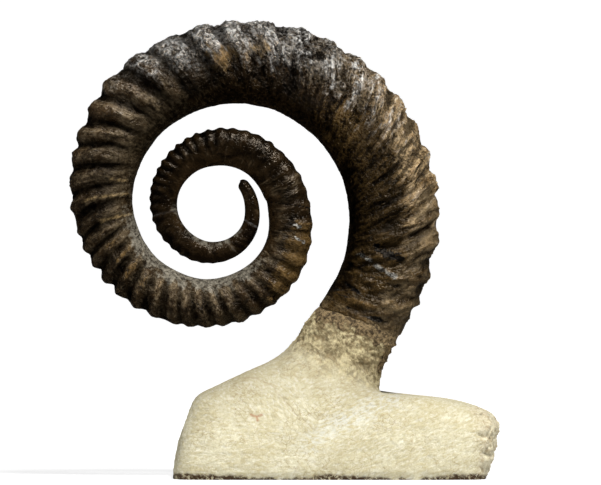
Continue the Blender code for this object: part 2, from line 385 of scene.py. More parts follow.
# How strongly the ribs show in the colour, as dirt and painted shade in the valleys and painted highlight on
# the crests
rib_dirt_and_shade_show = straight(
    [(-45, 0.0), (60, 0.1), (130, 0.25), (180, 0.4), (200, 0.9), (265, 0.9), (285, 0.4), (330, 0.2),
     (370, 0.5), (410, 0.8), (450, 0.85), (560, 1.0), (625, 1.0), (645, 0.6), (690, 0.4), (757, 0.4)], line,
)
tan = straight(
    [(-45, 0.30), (20, 0.1), (90, 0.2), (130, 0.25), (200, 0.05), (280, 0.15), (330, 0.3), (380, 0.45),
     (450, 0.5), (520, 0.55), (580, 0.6), (612, 0.45), (630, 0.3), (655, 0.45), (680, 0.75), (700, 0.95),
     (757, 0.85)], line,
)
tan = tan * ((1 - late) * (0.7 + 0.45 * inner_profile) + late * (0.1 + 1.0 * outer_profile))
# Grey wear with a painted sheen: strongest on the venter at the top of the last turn, where the skin faces
# up
silver_and_painted_sheen = straight(
    [(-45, 0.0), (240, 0.08), (330, 0.05), (410, 0.08), (560, 0.1), (590, 0.3),
     (615, 0.8), (655, 0.8), (680, 0.62), (700, 0.38), (757, 0.15)], line,
) * ease(blur_share, 0.25, 0.7)
ochre_and_crest_sheen = bump_at(blur_turn, 394, 24) * ease(blur_share, 0.3, 0.65) * 1.1
late_ochre = ease(blur_turn, 672, 700) * bump_at(blur_share, 0.40, 0.26) * 1.15
ochre_and_crest_sheen += late_ochre + bump_at(blur_turn, 655, 50) * 0.3
# Painted sheen: ochre laid on the rib crests around turn 508
ochre_and_crest_sheen += 0.8 * bump_at(blur_turn, 508, 24) * bump_at(blur_share, 0.48, 0.18) * ease(crest, 0.2, 0.9)
# Soot black, and painted shade on the dorsum of the last turn, which faces away from the lamp
soot_and_painted_shade = 0.3 * late * (1 - flank_profile)
# Dust, with painted light: the dorsum is paler near the bottom of both turns, where it faces up
dust_and_painted_light = straight(
    [(10, 0.0), (40, 0.5), (110, 0.5), (175, 0.35), (205, 0.0), (380, 0.0), (415, 0.75), (500, 0.78),
     (530, 0.4), (560, 0.1), (580, 0.0)], line,
) * ease(-blur_share, -0.42, -0.12)

# How light the skin is along the dorsum, the flank and the venter: its own tone and painted light and shade,
# lighter where the skin faces up, as on the venter at the top of the last turn and on the dorsum near the
# bottom, and darker where it faces down or away, as on the dorsum of the last turn and on the venter near
# the bottom
dorsum_tone_and_light = straight(
    [(-45, 0.34), (20, 0.45), (65, 0.6), (110, 0.65), (200, 0.55), (290, 0.55), (330, 0.68), (380, 0.8),
     (430, 1.05), (500, 1.1), (540, 0.5), (580, 0.32), (615, 0.2), (645, 0.3), (675, 0.28), (705, 0.14),
     (745, 0.28), (757, 0.6)], line,
)
flank_tone_and_light = straight(
    [(-45, 0.15), (20, 0.25), (65, 0.36), (155, 0.40), (245, 0.28), (320, 0.3), (380, 0.42), (435, 0.78),
     (490, 0.76), (540, 0.30), (580, 0.66), (615, 0.55), (645, 0.95), (672, 0.95), (692, 0.28),
     (715, 0.15), (735, 0.45), (750, 0.5), (757, 0.8)], line,
)
venter_tone_and_light = straight(
    [(-45, 0.5), (20, 0.5), (65, 0.22), (155, 0.17), (245, 0.27), (320, 0.53), (380, 0.7), (435, 0.62),
     (490, 0.4), (540, 0.48), (580, 1.1), (615, 1.05), (645, 2.05), (675, 2.55), (705, 1.75),
     (735, 0.46), (757, 0.5)], line,
)
tone_and_painted_light = dorsum_tone_and_light + (flank_tone_and_light - dorsum_tone_and_light) * ease(blur_share, 0.18, 0.46)
tone_and_painted_light += (venter_tone_and_light - flank_tone_and_light) * ease(blur_share, 0.5, 0.77)
patches = [
    # finish, turn, place from dorsum 0 to venter 1, reach in degrees, reach across, strength
    (tan, 634.5, 0.62, 3.6, 0.12, 0.9),
    (ochre_and_crest_sheen, 634.5, 0.6, 3.0, 0.11, 0.7),
    (tan, 612, 0.9, 7, 0.12, 0.4),
    (silver_and_painted_sheen, 634.5, 0.61, 4.0, 0.13, -1.0),
    (tan, 645.5, 0.66, 3.0, 0.11, 0.6),
    (silver_and_painted_sheen, 645.5, 0.66, 3.0, 0.1, -0.7),
    (soot_and_painted_shade, 688, 0.62, 3.0, 0.09, 0.8),
    (soot_and_painted_shade, 672, 0.6, 5, 0.09, 0.5),
    (tan, 668, 0.55, 4, 0.12, 0.4),
    (silver_and_painted_sheen, 752, 0.8, 3.0, 0.2, 0.3),
    (silver_and_painted_sheen, 333, 0.7, 14, 0.2, 0.1),
    (soot_and_painted_shade, 660, 0.45, 12, 0.16, 0.5),
    (soot_and_painted_shade, 620, 0.35, 14, 0.2, 0.5),
    (soot_and_painted_shade, 640, 0.75, 22, 0.3, 0.35),
]
for finish, at_turn, at_share, reach_turn, reach_share, strength in patches:
    finish += strength * bump_at(blur_turn, at_turn, reach_turn) * bump_at(blur_share, at_share, reach_share)
rim_tan = ease(line, shell_end_line - 9, shell_end_line - 1)
tan += 1.1 * rim_tan * (1 - 0.6 * venter_share)
# Painted shade: the pocket and the creases are made black
soot_and_painted_shade += 2.2 * black_pocket + 0.6 * crease_lines
tan -= 0.9 * black_pocket
ochre_and_crest_sheen -= 0.9 * black_pocket

shell_paints = {
    "tube_place": tube_place, "rib_dirt_and_shade_show": rib_dirt_and_shade_show, "late": late, "off_dorsum": off_dorsum,
    "crest": crest * rib_reach * np.clip(rib_strength, 0.3, 1.3),
    "proud": (relief - ribs) / (size_share * MM),
    "smooth_skin": smooth_skin, "drapes": draped * drapes,
    "crumpled": roughened * late, "pleated": pleated * off_dorsum,
    "dust_and_painted_light": dust_and_painted_light, "tone_and_painted_light": tone_and_painted_light, "tan": tan, "silver_and_painted_sheen": silver_and_painted_sheen, "ochre_and_crest_sheen": ochre_and_crest_sheen,
    # Painted shade: the slot is made black; the dark crack is dark too
    "soot_and_painted_shade": soot_and_painted_shade + slot * 2 + dark_crack, "scar": np.clip(crack, 0, 1),
    "painted_sheen_line": painted_sheen_lines, "painted_highlight": painted_highlight_fold + painted_glints,
}
for name, values in shell_paints.items():
    paint(shell, name, with_rim(values))


def new_material(name):
    """A node material, its tree and its main shader."""
    material = bpy.data.materials.new(name)
    material.use_nodes = True
    return material, material.node_tree, material.node_tree.nodes["Principled BSDF"]


def node(tree, kind, inputs=None, output=0, **settings):
    """Adds a node, sets it, fills or links its inputs, and returns one of its outputs."""
    made = tree.nodes.new(kind)
    for key, value in settings.items():
        setattr(made, key, value)
    for key, value in (inputs or {}).items():
        if isinstance(value, bpy.types.NodeSocket):
            tree.links.new(value, made.inputs[key])
        else:
            made.inputs[key].default_value = value
    return made.outputs[output]


def painted(tree, name, output="Fac"):
    return node(tree, "ShaderNodeAttribute", attribute_name=name, output=output)


def noise_node(tree, place, scale, detail=3.0, roughness=0.6, distortion=0.0):
    inputs = {"Vector": place, "Scale": scale, "Detail": detail, "Roughness": roughness}
    return node(tree, "ShaderNodeTexNoise", {**inputs, "Distortion": distortion})


def vector_maths(tree, operation, *values, output=0):
    return node(tree, "ShaderNodeVectorMath", dict(enumerate(values)), output, operation=operation)


def maths(tree, operation, a, b=0.0, c=0.0):
    return node(tree, "ShaderNodeMath", {0: a, 1: b, 2: c}, operation=operation)


def times(tree, a, b):
    return maths(tree, "MULTIPLY", a, b)


def times_plus(tree, a, b, c):
    return maths(tree, "MULTIPLY_ADD", a, b, c)


def remap(tree, value, low, high, to_low=0.0, to_high=1.0, smooth=True):
    """Carries low..high to to_low..to_high, clamped."""
    inputs = {"Value": value, "From Min": low, "From Max": high, "To Min": to_low, "To Max": to_high}
    kind = "SMOOTHSTEP" if smooth else "LINEAR"
    return node(tree, "ShaderNodeMapRange", inputs, interpolation_type=kind)


def blend_number(tree, share, under, over):
    return node(tree, "ShaderNodeMix", {0: share, 2: under, 3: over})


def blend_colour(tree, share, under, over, kind="MIX"):
    inputs = {0: share, 6: under, 7: over}
    return node(tree, "ShaderNodeMix", inputs, output=2, data_type="RGBA", blend_type=kind)


def lay_paint(tree, name, strength, under, over):
    """The colour over shows where the painted finish lies."""
    return blend_colour(tree, times(tree, painted(tree, name), strength), under, over)


def ramp(tree, value, low, high, under, over):
    """The colour goes from under to over as the value goes from low to high."""
    return blend_colour(tree, remap(tree, value, low, high), under, over)


def grey(level):
    return (level, level, level, 1.0)


shell_tones = {
    # the dark and the light tone of each finish
    "brown": ((0.007, 0.0040, 0.0017, 1), (0.036, 0.0205, 0.008, 1)),
    "early tan": ((0.055, 0.036, 0.017, 1), (0.165, 0.122, 0.069, 1)),
    "late tan": ((0.095, 0.056, 0.021, 1), (0.42, 0.30, 0.155, 1)),
    "ochre_and_crest_sheen": ((0.055, 0.031, 0.008, 1), (0.23, 0.137, 0.047, 1)),
    "silver_and_painted_sheen": ((0.026, 0.025, 0.023, 1), (0.28, 0.278, 0.265, 1)),
    "painted highlight": ((0.07, 0.065, 0.055, 1), (0.72, 0.70, 0.63, 1)),
    "dust_and_painted_light": ((0.045, 0.039, 0.030, 1), (0.24, 0.215, 0.165, 1)),
}
worn_brown = (0.085, 0.055, 0.026, 1)
soot_and_shade_black = (0.0035, 0.0035, 0.004, 1)
scar_grey = (0.16, 0.15, 0.14, 1)
painted_gold_sheen = (0.24, 0.165, 0.075, 1)
plain_specular = 0.15
warm_tint = (1.0, 0.83, 0.64, 1.0)
facet_scale = 950.0
facet_shift_size = 1.4 * MM

shell_skin, tree, shader = new_material("crinkled dark shell")
place = node(tree, "ShaderNodeTexCoord", output="Object")
along_ribs = vector_maths(tree, "MULTIPLY", painted(tree, "tube_place", "Vector"), rib_stretch)
smooth_paint = painted(tree, "smooth_skin")
crumpled_paint = painted(tree, "crumpled")
proud = painted(tree, "proud")
crest_paint = painted(tree, "crest")
late_paint = painted(tree, "late")
off_dorsum_paint = painted(tree, "off_dorsum")

# Grain and streaks, broader where the skin is smooth, and the ridges of the crumpled and the pleated skin
sparkle = noise_node(tree, place, 1500.0, 1.0, 0.6)
fine_grain = noise_node(tree, place, 700.0, 3.0, 0.65, 0.5)
broad_grain = noise_node(tree, along_ribs, 330.0, 3.0, 0.55, 0.6)
grain = blend_number(tree, times(tree, smooth_paint, 0.85), fine_grain, broad_grain)
thin_streak = noise_node(tree, along_ribs, 800.0, 3.0, 0.6, 0.8)
wide_streak = noise_node(tree, along_ribs, 240.0, 3.0, 0.55, 0.8)
streak = blend_number(tree, times(tree, smooth_paint, 0.8), thin_streak, wide_streak)
patch = noise_node(tree, place, 170.0, 4.0, 0.65, 0.6)
break_up = maths(tree, "ADD", times(tree, streak, 0.5), times(tree, grain, 0.5))


def ridge_node(tree, place, scale, distortion):
    inputs = {"Vector": place, "Scale": scale, "Detail": 2.5, "Roughness": 0.55, "Offset": 1.0, "Gain": 2.0}
    inputs["Distortion"] = distortion
    return node(tree, "ShaderNodeTexNoise", inputs, noise_type="RIDGED_MULTIFRACTAL")


folds = ridge_node(tree, along_ribs, 750.0, 0.4)
crumple = ridge_node(tree, place, 560.0, 0.3)
ridge = blend_number(tree, times(tree, painted(tree, "pleated"), 0.65), crumple, folds)
evened = times(tree, smooth_paint, remap(tree, late_paint, 0.0, 1.0, 0.75, 0.4))
ridge_even = blend_number(tree, evened, ridge, 1.3)
ridge_sum = times_plus(tree, painted(tree, "drapes"), 1.6, ridge_even)
ridge_sum = times_plus(tree, proud, 0.6, ridge_sum)
ridge_rise = remap(tree, ridge_sum, 0.5, 2.1, -1.0, 1.0, smooth=False)
# Painted light in the crumpled skin: its ridges lighter and its creases darker, more so where it is crumpled
crease_painted_light_depth = remap(tree, crumpled_paint, 0.0, 1.0, 0.40, 0.88)
crease_dirt_and_painted_light = times_plus(tree, ridge_rise, crease_painted_light_depth, 1.0)

# Facets: each small cell leans its own way, as in crumpled foil, and each cell's own brightness is a painted
# glint in the grey wear and sheen
halves = (0.5, 0.5, 0.5)
facet_warp = node(tree, "ShaderNodeTexNoise", {"Vector": place, "Scale": 500.0, "Detail": 2.0}, output=1)
facet_shift = vector_maths(tree, "SUBTRACT", facet_warp, halves)
facet_place = vector_maths(tree, "MULTIPLY_ADD", facet_shift, (facet_shift_size,) * 3, place)
cells = tree.nodes.new("ShaderNodeTexVoronoi")
cells.inputs["Scale"].default_value = facet_scale
tree.links.new(facet_place, cells.inputs["Vector"])
cell_offset = vector_maths(tree, "SUBTRACT", facet_place, cells.outputs["Position"])
cell_lean = vector_maths(tree, "SUBTRACT", cells.outputs["Color"], halves)
facet_height = vector_maths(tree, "DOT_PRODUCT", cell_offset, cell_lean, output=1)
facet_height = times(tree, facet_height, facet_scale)
cell_painted_glint = node(tree, "ShaderNodeSeparateColor", {0: cells.outputs["Color"]}, output=2)


def finish_share(name, softness=0.2):
    """How much of a painted finish shows: the paint sets how far the break-up has to rise."""
    wanted = maths(tree, "SUBTRACT", 1.0, painted(tree, name))
    level = times_plus(tree, wanted, 0.44, 0.28)
    over = maths(tree, "SUBTRACT", times_plus(tree, proud, 0.12, break_up), level)
    return remap(tree, over, -softness / 2, softness / 2)


# The finishes, one over the other
base = ramp(tree, patch, 0.34, 0.64, *shell_tones["brown"])
base = ramp(tree, break_up, 0.52, 0.66, base, worn_brown)
early_tan = ramp(tree, grain, 0.34, 0.68, *shell_tones["early tan"])
late_tan = ramp(tree, grain, 0.34, 0.68, *shell_tones["late tan"])
tan_colour = blend_colour(tree, late_paint, early_tan, late_tan)
base = blend_colour(tree, finish_share("tan"), base, tan_colour)
ochre_colour = ramp(tree, grain, 0.35, 0.7, *shell_tones["ochre_and_crest_sheen"])
base = blend_colour(tree, finish_share("ochre_and_crest_sheen"), base, ochre_colour)
# The grey wear and painted sheen: light and dark facets and patches, strongest on the rib crests
silver_and_sheen_patch = remap(tree, noise_node(tree, place, 360.0, 3.0, 0.6, 1.0), 0.36, 0.64)
silver_and_sheen_rise = times_plus(tree, cell_painted_glint, 0.26, times(tree, fine_grain, 0.5))
silver_and_sheen_rise = times_plus(tree, ridge_rise, 0.16, silver_and_sheen_rise)
silver_and_sheen_rise = times_plus(tree, silver_and_sheen_patch, 0.42, silver_and_sheen_rise)
silver_and_sheen_colour = ramp(tree, silver_and_sheen_rise, 0.36, 0.86, *shell_tones["silver_and_painted_sheen"])
silver_and_sheen_crest = remap(tree, crest_paint, -0.9, 0.4, 0.65, 1.0)
silver_and_sheen_share = times(tree, finish_share("silver_and_painted_sheen"), silver_and_sheen_crest)
base = blend_colour(tree, silver_and_sheen_share, base, silver_and_sheen_colour)
# The painted highlight on the fold and the painted glints, broken up by the grain
painted_highlight_break = maths(tree, "SUBTRACT", break_up, 0.5)
painted_highlight_share = times_plus(tree, painted_highlight_break, 1.5, painted(tree, "painted_highlight"))
painted_highlight_colour = ramp(tree, fine_grain, 0.42, 0.58, *shell_tones["painted highlight"])
base = blend_colour(tree, remap(tree, painted_highlight_share, 0.25, 0.7, 0.0, 0.95), base, painted_highlight_colour)
base = blend_colour(tree, finish_share("soot_and_painted_shade", 0.16), base, soot_and_shade_black)
dust_and_painted_light_colour = ramp(tree, grain, 0.34, 0.66, *shell_tones["dust_and_painted_light"])
base = blend_colour(tree, finish_share("dust_and_painted_light"), base, dust_and_painted_light_colour)

# Dirt and painted shade darken the hollows between ribs and in creases, painted highlight lightens the rib
# crests and the crinkle ridges, and the painted light and tone set the rest
rib_dirt_and_painted_light = remap(tree, crest_paint, -0.9, 0.7, 0.16, 1.25)
rib_dirt_and_painted_light = blend_number(tree, painted(tree, "rib_dirt_and_shade_show"), 0.9, rib_dirt_and_painted_light)
dirt_and_painted_light = times(tree, rib_dirt_and_painted_light, crease_dirt_and_painted_light)
dirt_and_painted_light = times(tree, dirt_and_painted_light, painted(tree, "tone_and_painted_light"))
dirt_and_painted_light_colour = node(tree, "ShaderNodeCombineColor", {0: dirt_and_painted_light, 1: dirt_and_painted_light, 2: dirt_and_painted_light})
base = blend_colour(tree, 1.0, base, dirt_and_painted_light_colour, "MULTIPLY")
base = lay_paint(tree, "scar", 0.5, base, scar_grey)
# The golden painted sheen along the crest lines, broken up by the grain
painted_sheen_break = remap(tree, fine_grain, 0.36, 0.56, 0.2, 0.85)
painted_sheen_share = times(tree, painted(tree, "painted_sheen_line"), painted_sheen_break)
base = blend_colour(tree, painted_sheen_share, base, painted_gold_sheen)
tree.links.new(base, shader.inputs["Base Color"])

# Sheen: duller where the skin is tan, glossier on the grey wear with its painted sheen and on the smooth
# late folds
dull = times_plus(tree, painted(tree, "tan"), 0.5, grain)
late_smooth = times(tree, late_paint, smooth_paint)
dull = times_plus(tree, late_smooth, -0.25, dull)
tree.links.new(remap(tree, dull, 0.4, 1.0, 0.18, 0.42), shader.inputs["Roughness"])
skin_gloss = remap(tree, off_dorsum_paint, 0.0, 1.0, 0.08, 0.45)
gloss = times_plus(tree, silver_and_sheen_share, 0.7, skin_gloss)
fold_gloss = times(tree, times(tree, late_smooth, off_dorsum_paint), 0.14)
tree.links.new(times_plus(tree, gloss, dirt_and_painted_light, fold_gloss), shader.inputs["Specular IOR Level"])
shader.inputs["Specular IOR Level"].default_value = plain_specular
shader.inputs["Specular Tint"].default_value = warm_tint

# Fine relief
ridge_height = times(tree, ridge, remap(tree, crumpled_paint, 0.0, 1.0, 0.30, 0.9))
ridge_height = times(tree, ridge_height, remap(tree, smooth_paint, 0.0, 1.0, 1.0, 0.5))
height = times_plus(tree, grain, remap(tree, smooth_paint, 0.0, 1.0, 0.6, 0.3), ridge_height)
facet_share = remap(tree, painted(tree, "silver_and_painted_sheen"), 0.1, 0.8, 0.0, 1.0)
height = times_plus(tree, facet_height, facet_share, height)
height = times_plus(tree, sparkle, remap(tree, smooth_paint, 0.0, 1.0, 0.2, 0.05), height)
shell_bump = node(tree, "ShaderNodeBump", {"Height": height, "Strength": 0.9, "Distance": 0.0012})
tree.links.new(shell_bump, shader.inputs["Normal"])
shell.data.materials.append(shell_skin)

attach(shell, "root")
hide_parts("ammonite_shell")


# The limestone: the foot of the rock slab that held the shell, cut flat below, scraped and scratched by
# tools on its faces and broken off on the right. A neck of the same rock, still rough from the needle, runs
# up into the mouth of the shell.

stone_sections = [
    # left end x and z, right end x and z, half the depth, all in mm, and the squareness of the outline
    (-45.5, 0.0, 81.2, 0.0, 32.2, 7.0),
    (-44.3, 7.1, 83.6, 7.1, 33.0, 7.0),
    (-42.5, 14.3, 85.5, 14.3, 32.8, 6.8),
    (-40.3, 21.6, 86.5, 20.6, 31.6, 6.2),
    (-38.2, 28.0, 84.2, 25.4, 30.0, 5.4),
    (-36.5, 31.6, 78.4, 28.4, 28.6, 4.7),
    (-33.0, 34.4, 69.5, 31.0, 27.0, 4.1),
    (-26.0, 37.6, 60.5, 32.5, 25.0, 3.5),
    (-17.0, 41.9, 50.5, 33.2, 22.2, 3.1),
    (-8.0, 46.2, 41.5, 33.6, 19.4, 2.8),
    (-0.9, 50.5, 38.2, 35.6, 17.0, 2.5),
    (4.1, 55.3, 38.6, 41.4, 15.3, 2.3),
    (7.4, 60.8, 40.4, 47.2, 14.4, 2.2),
    (9.9, 64.6, 42.6, 50.8, 14.0, 2.2),
    (12.0, 67.4, 44.6, 54.6, 13.8, 2.2),
]
# Where the neck runs on inside the shell: dorsum turn, venter turn, and its share of the tube's height
neck_in_shell = [(762.2, 753.0, 0.93), (759.0, 749.5, 0.82), (755.0, 746.0, 0.78)]
neck_squareness = 2.2
stone_lump = 1.1 * MM
stone_lump_size = 16.0 * MM
stone_rows = 150
neck_end_rows = 14
stone_columns = 600
last_block_section = len(stone_sections) - 1

for dorsum_turn, venter_turn, inset in neck_in_shell:
    low, high = whorl(np.array(dorsum_turn))[0], whorl(np.array(venter_turn))[1]
    reach = (high - low) / 2 * inset
    middle_radius = (high + low) / 2
    ends = []
    for radius, at_turn in ((middle_radius - reach, dorsum_turn), (middle_radius + reach, venter_turn)):
        ends.append((coil_centre_x + radius * math.cos(math.radians(at_turn))) / MM)
        ends.append((coil_centre_z - radius * math.sin(math.radians(at_turn))) / MM)
    stone_sections.append((*ends, reach * whorl_width_share / MM, neck_squareness))

section_at = np.concatenate([
    np.linspace(0, last_block_section, stone_rows, endpoint=False),
    np.linspace(last_block_section, len(stone_sections) - 1, neck_end_rows),
])
sections = smooth_rows(stone_sections, section_at)
sections[0, 1] = sections[0, 3] = 0.0


def stone_outline(half_length, half_depth, squareness, columns):
    """A superellipse parted evenly, a quarter at a time, with its outward directions."""
    direction = np.linspace(0, math.pi / 2, 400)
    c, s = np.cos(direction), np.sin(direction)
    reach = ((c / half_length) ** squareness + (s / half_depth) ** squareness) ** (-1 / squareness)
    x, y = reach * c, reach * s
    length = np.concatenate([[0], np.cumsum(np.hypot(np.diff(x), np.diff(y)))])
    even = np.linspace(0, length[-1], columns // 4, endpoint=False)
    even_back = length[-1] - even
    qx = [np.interp(e, length, x) for e in (even, even_back)]
    qy = [np.interp(e, length, y) for e in (even, even_back)]
    along = np.concatenate([qx[0], -qx[1], -qx[0], qx[1]])
    deep = np.concatenate([qy[0], qy[1], -qy[0], -qy[1]])
    out_x = np.sign(along) * (np.abs(along) / half_length) ** (squareness - 1) / half_length
    out_y = np.sign(deep) * (np.abs(deep) / half_depth) ** (squareness - 1) / half_depth
    size = np.hypot(out_x, out_y)
    return along / half_length, deep / half_depth, out_x / size, out_y / size


rows = []
outwards = []
for left_x, left_z, right_x, right_z, depth, squareness in sections:
    middle = np.array([left_x + right_x, 0, left_z + right_z]) * MM / 2
    reach = np.array([right_x - left_x, 0, right_z - left_z]) * MM / 2
    half_length = np.linalg.norm(reach)
    c, s, out_c, out_s = stone_outline(half_length, depth * MM, squareness, stone_columns)
    rows.append(middle + reach * c[:, None] + np.array([0, -depth * MM, 0]) * s[:, None])
    outwards.append(reach / half_length * out_c[:, None] + np.array([0, -1.0, 0]) * out_s[:, None])
stone_mean = np.stack(rows)
outward = np.stack(outwards)
x, y, z = (stone_mean[..., k] for k in range(3))
section_grid = np.repeat(section_at[:, None], stone_columns, axis=1)

front = ease(outward[..., 1], 0.3, -0.3)
# The way each point of the stone's face looks
along_outline = np.roll(stone_mean, -1, axis=1) - np.roll(stone_mean, 1, axis=1)
up_the_stone = np.gradient(stone_mean, axis=0)
facing = np.cross(up_the_stone, along_outline)
facing /= np.linalg.norm(facing, axis=-1, keepdims=True) + 1e-12
facing *= np.sign((facing * outward).sum(axis=-1).mean())
neck = ease(section_grid + 0.8 * noise_at(stone_mean, 14 * MM, 2, 16.0), 8.0, 12.0)
in_shell = ease(section_grid, 14.0, 14.6)
lump_amount = ease(section_grid, 0, 2) * ease(-section_grid, -13, -10)
lump = noise_at(stone_mean, stone_lump_size, 1) * stone_lump * lump_amount
fine = noise_at(stone_mean, 1.5 * MM, 4, 12.0)
coarse = noise_at(stone_mean, 4.5 * MM, 3, 15.0)

# Tool marks: level on the lower left, falling to the right above them and on the neck, rising on the right
zone_edge = 5 * MM * noise_at(stone_mean, 20 * MM, 2, 17.0)
rising = ease(x + 0.35 * z + zone_edge, 16 * MM, 22 * MM) * (1 - neck)
level = (1 - rising) * ease(-z - 0.1 * x + zone_edge, -25 * MM, -18 * MM)
falling = 1 - rising - level


def turned(angle_deg):
    """The points in axes that follow a mark: along it, through the stone, and across it."""
    c, s = math.cos(math.radians(angle_deg)), math.sin(math.radians(angle_deg))
    return np.stack([x * c + z * s, y, z * c - x * s], -1)


rising_place, level_place, falling_place = turned(24), turned(2), turned(-48)
mark_stretch = np.array([0.3, 0.4, 1.0])
scrapes = rising * noise_at(rising_place * mark_stretch, 1.7 * MM, 3, 6.0)
scrapes += level * noise_at(level_place * mark_stretch, 1.9 * MM, 3, 7.0)
scrapes += falling * noise_at(falling_place * np.array([0.3, 0.5, 1.0]), 1.7 * MM, 3, 8.0)
facets = -ridges_at(rising_place * np.array([0.5, 0.8, 1.0]), 17 * MM, 2, 4.0) * rising
facets -= ridges_at(level_place * np.array([0.4, 0.8, 1.0]), 21 * MM, 2, 5.0) * (1 - rising)
stone_relief = 0.35 * (facets + ridge_middle) + 0.17 * scrapes
stone_relief = stone_relief + (0.18 + 0.3 * neck) * fine + (0.14 + 0.3 * neck) * coarse
neck_ridges = noise_at(falling_place * np.array([0.4, 0.8, 1.0]), 1.3 * MM, 5, 19.0)
stone_relief += 0.34 * neck * neck_ridges
stone_relief -= 0.3 * ease(-outward[..., 0], 0.3, 0.9)

# A shallow trough where the right shelf meets the neck's foot. Paths on the stone are in the photo's pixels
mm_per_pixel = 0.404
photo_foot = (284.5, 477.5)
trough_path = np.array([(312, 440), (330, 427), (352, 416), (378, 402), (392, 396)], float)
to_stone = np.array([mm_per_pixel, -mm_per_pixel]) * MM


def distance_to_path(path, px, pz):
    """The distance in the XZ plane from each point to a broken line, given in the photo's own places."""
    path = (path - photo_foot) * to_stone
    nearest = np.full(px.shape, 1.0)
    for (ax, az), (bx, bz) in zip(path[:-1], path[1:]):
        dx, dz = bx - ax, bz - az
        t = np.clip(((px - ax) * dx + (pz - az) * dz) / (dx * dx + dz * dz), 0, 1)
        nearest = np.minimum(nearest, np.hypot(px - ax - t * dx, pz - az - t * dz))
    return nearest


trough = bump_at(distance_to_path(trough_path, x, z), 0, 4.5 * MM)
stone_relief = lump + MM * (stone_relief - 0.9 * trough * np.abs(outward[..., 1]))

# The broken right end: notched, and rougher than the worked faces
broken_from = x + 0.10 * np.abs(y) + 0.12 * z + 2 * MM * coarse
broken = ease(broken_from, 78 * MM, 84 * MM) * ease(outward[..., 0], 0.15, 0.6)
broken *= 1 - neck
break_ridges = ridges_at(stone_mean, 9 * MM, 4, 21.0)
stone_relief += broken * MM * (-1.8 * np.clip(0.95 - break_ridges, 0, 1) + 0.45 * fine)
notches = [
    # height, depth and reach, in mm
    (16.8, 1.3, 1.5), (9.6, 0.8, 1.2), (23.5, 0.6, 1.6), (3.5, 0.7, 1.4),
]
for at_z, depth, reach in notches:
    bent_z = z + 0.04 * y + 1.8 * MM * noise_at(stone_mean, 13 * MM, 2, 33.0)
    depth_here = depth * np.clip(0.95 + 0.9 * noise_at(stone_mean, 11 * MM, 2, 35.0 + at_z), 0.4, 1.4)
    stone_relief -= broken * depth_here * MM * bump_at(bent_z, at_z * MM, reach * MM)
# Chips along the sawn edge
edge_place = np.stack([x, y, z * 0.25], -1)
chips = ease(ridges_at(edge_place, 8 * MM, 3, 31.0), 0.35, 0.85)
near_edge = ease(-z, -3.4 * MM, -0.2 * MM)
stone_relief -= near_edge * MM * (0.25 + 1.1 * chips)
# A crack that curves down over the front, from the shoulder to the foot
crack_path = np.array([(241, 378), (256, 377), (271, 383), (284, 398), (295, 411), (315, 428)], float)
wander = noise_at(stone_mean, 3 * MM, 2, 41.0) * 0.4 * MM
stone_crack = bump_at(distance_to_path(crack_path, x + wander, z + wander), 0, 0.24 * MM) * front * (y < 0)
stone_relief -= 0.12 * MM * stone_crack
# The last ribs have left their print on the venter side of the neck
print_z = np.array([53.6, 50.6, 47.4]) * MM
rib_print = sum(bump_at(z, at, 0.9 * MM) for at in print_z) * ease(outward[..., 0], 0.3, 0.8) * neck
stone_relief += 0.55 * MM * rib_print * (1 - in_shell)
stone_relief *= 1 - 0.8 * in_shell

stone_points = stone_mean + outward * stone_relief[..., None]
stone_points = np.clip(stone_points, cad_box[0], cad_box[1])
stone_points[0, :, 2] = 0.0
stone = grid_mesh("limestone", stone_points, True, True)

# The red-brown stain is a small Y on the front
stain_strokes = [
    np.array([(251, 413), (257, 415)], float), np.array([(257, 415), (262, 413)], float),
    np.array([(257, 415), (258, 419)], float),
]
stain = np.zeros_like(x)
for stroke in stain_strokes:
    stain = np.maximum(stain, bump_at(distance_to_path(stroke, x + wander * 0.5, z), 0, 0.40 * MM))
stain *= y < 0
edge_wander = 2.0 * noise_at(edge_place, 9 * MM, 3, 71.0) + ease(np.abs(x - 19 * MM), 40 * MM, 62 * MM)
# Painted shade: surfaces that face up are darkened, less so on the neck and towards the right end
upward_painted_shade = ease(facing[..., 2] + 0.15 * fine, 0.0, 0.95) * (1 - 0.5 * neck)
# Dark skin left by the shell on the neck: along a bent path, and all over just below the break
skin_path = np.array([(350, 321), (368, 330), (385, 335), (391, 346), (386, 358), (381, 368)], float)
skin_left = bump_at(distance_to_path(skin_path, x + 1.5 * MM * coarse, z + 1.5 * MM * coarse), 0, 2.6 * MM)

stone_paints = {
    "neck": neck, "broken": broken, "trough": trough, "stone_crack": stone_crack, "stain": stain,
    "rising": rising, "level": level, "falling": falling,
    "rising_place": rising_place, "level_place": level_place, "falling_place": falling_place,
    # A dark brown rind along the foot, partly a painted shadow under its chipped edge
    "edge": ease(-z + MM * (0.8 * edge_wander + 0.8 * chips), -1.4 * MM, -0.4 * MM),
    "pits": ease(coarse + 0.7 * fine + 1.2 * neck_ridges, -0.3, -1.0) * neck,
    "upward_painted_shade": upward_painted_shade * (1 - 0.5 * ease(x, 42 * MM, 60 * MM)),
    "left_skin": neck * np.maximum(skin_left, 0.9 * ease(section_grid + 1.8 * coarse, 12.7, 14.2)),
}
for name, values in stone_paints.items():
    paint(stone, name, values)

